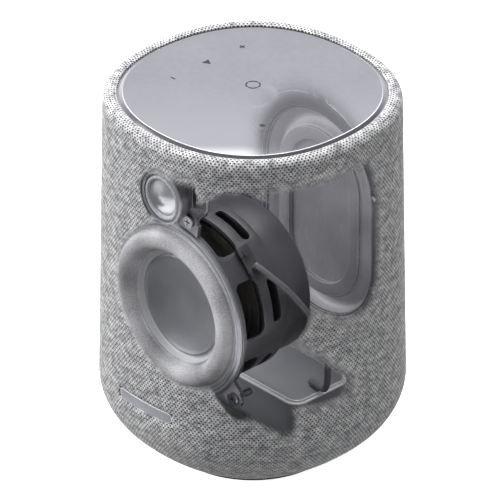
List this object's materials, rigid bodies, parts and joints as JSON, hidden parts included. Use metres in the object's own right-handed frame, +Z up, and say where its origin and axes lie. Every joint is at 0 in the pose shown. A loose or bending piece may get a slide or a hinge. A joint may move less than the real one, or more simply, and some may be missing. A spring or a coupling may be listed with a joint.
{
  "type": "smart speaker",
  "caption": "Free-standing smart speaker: cloth-covered cabinet, round-cornered in plan, with a touch panel on top, woofer, tweeter and a passive radiator.",
  "frame": {"origin": "centre of the rubber foot, on the table surface", "axes": "+Z up, the front with the woofer and tweeter faces -Y, right side is +X"},
  "size_m": [0.14, 0.1399, 0.1885],
  "materials": {
    "cloth": "woven polyester blend",
    "carrier_plastic": "moulded ABS",
    "badge_metal": "satin",
    "panel_gloss": "polished polycarbonate",
    "mark_ink": "printed",
    "trim_plastic": "moulded ABS",
    "board": "solder mask",
    "light_guide": "frosted acrylic",
    "can_metal": "tin plated",
    "seal_rubber": "foam rubber",
    "cabinet_plastic": "moulded ABS",
    "base_plastic": "moulded ABS",
    "screw_steel": "zinc plated",
    "foot_rubber": "moulded",
    "component_plastic": "moulded",
    "heat_sink_aluminium": "extruded",
    "socket_plastic": "moulded nylon",
    "pin_brass": "plated",
    "button_plastic": "moulded ABS",
    "basket_paint": "powder coated",
    "ring_paint": "satin",
    "roll_rubber": "moulded butyl",
    "cone_fibre": "pressed fibre",
    "dish_aluminium": "satin anodised",
    "copper": "enamelled",
    "spider_cloth": "pressed cloth",
    "plate_steel": "zinc plated",
    "ferrite": "ground",
    "can_steel": "painted",
    "motor_steel": "painted",
    "bracket_steel": "painted",
    "frame_plastic": "moulded ABS",
    "radiator_metal": "satin",
    "lead_insulation": "PVC jacket"
  },
  "bodies": {
    "cabinet": {"fabric_sleeve": "cloth", "grille_carrier": "carrier_plastic", "badge_plate": "badge_metal", "top_panel": "panel_gloss", "panel_markings": "mark_ink", "top_trim_ring": "trim_plastic", "top_frame": "carrier_plastic", "touch_board": "board", "light_guide": "light_guide", "microphones": "can_metal", "microphone_boots": "seal_rubber", "antennas": "board", "cabinet_shell": "cabinet_plastic", "cabinet_lid": "cabinet_plastic", "lid_gasket": "seal_rubber", "lid_screws": "screw_steel", "base_gasket": "seal_rubber", "base_skirt": "base_plastic", "base_chassis": "base_plastic", "base_screws": "screw_steel", "rubber_foot": "foot_rubber", "electronics_cover": "base_plastic", "power_board": "board", "power_parts": "component_plastic", "heat_sink": "heat_sink_aluminium", "main_board": "board", "shield_can": "can_metal", "board_screws": "screw_steel", "io_panel": "trim_plastic", "power_inlet": "socket_plastic", "inlet_pins": "pin_brass", "service_port": "can_metal", "io_board": "board", "woofer_basket": "basket_paint", "woofer_trim_ring": "ring_paint", "woofer_surround": "roll_rubber", "woofer_spider": "spider_cloth", "woofer_top_plate": "plate_steel", "woofer_magnet": "ferrite", "woofer_yoke": "plate_steel", "woofer_can": "can_steel", "woofer_terminal": "component_plastic", "woofer_screws": "screw_steel", "tweeter_face_ring": "ring_paint", "tweeter_surround": "roll_rubber", "tweeter_motor": "motor_steel", "tweeter_bracket": "bracket_steel", "tweeter_screws": "screw_steel", "radiator_frame": "frame_plastic", "radiator_surround": "roll_rubber", "radiator_screws": "screw_steel", "speaker_leads": "lead_insulation"},
    "woofer_cone_body": {"woofer_cone": "cone_fibre", "woofer_dish": "dish_aluminium", "woofer_coil": "copper"},
    "tweeter_dome_body": {"tweeter_dome": "dish_aluminium", "tweeter_coil": "copper"},
    "radiator_body": {"radiator_plate": "radiator_metal", "radiator_weight": "radiator_metal"},
    "mute_button_body": {"mute_button": "button_plastic"}
  },
  "joints": [
    {"name": "woofer_stroke", "type": "slide", "parent": "cabinet", "child": "woofer_cone_body", "axis": [0, -1, 0], "range_m": [-0.0035, 0.0035], "stiffness_N_per_m": 1200, "deforming": ["woofer_surround", "woofer_spider"]},
    {"name": "tweeter_stroke", "type": "slide", "parent": "cabinet", "child": "tweeter_dome_body", "axis": [0, -1, 0], "range_m": [-0.0003, 0.0003], "stiffness_N_per_m": 1500, "deforming": ["tweeter_surround"]},
    {"name": "radiator_stroke", "type": "slide", "parent": "cabinet", "child": "radiator_body", "axis": [0, 1, 0], "range_m": [-0.006, 0.006], "stiffness_N_per_m": 800, "deforming": ["radiator_surround"]},
    {"name": "mute_press", "type": "slide", "parent": "cabinet", "child": "mute_button_body", "axis": [0, -1, 0], "range_m": [0, 0.0008], "stiffness_N_per_m": 1000}
  ]
}
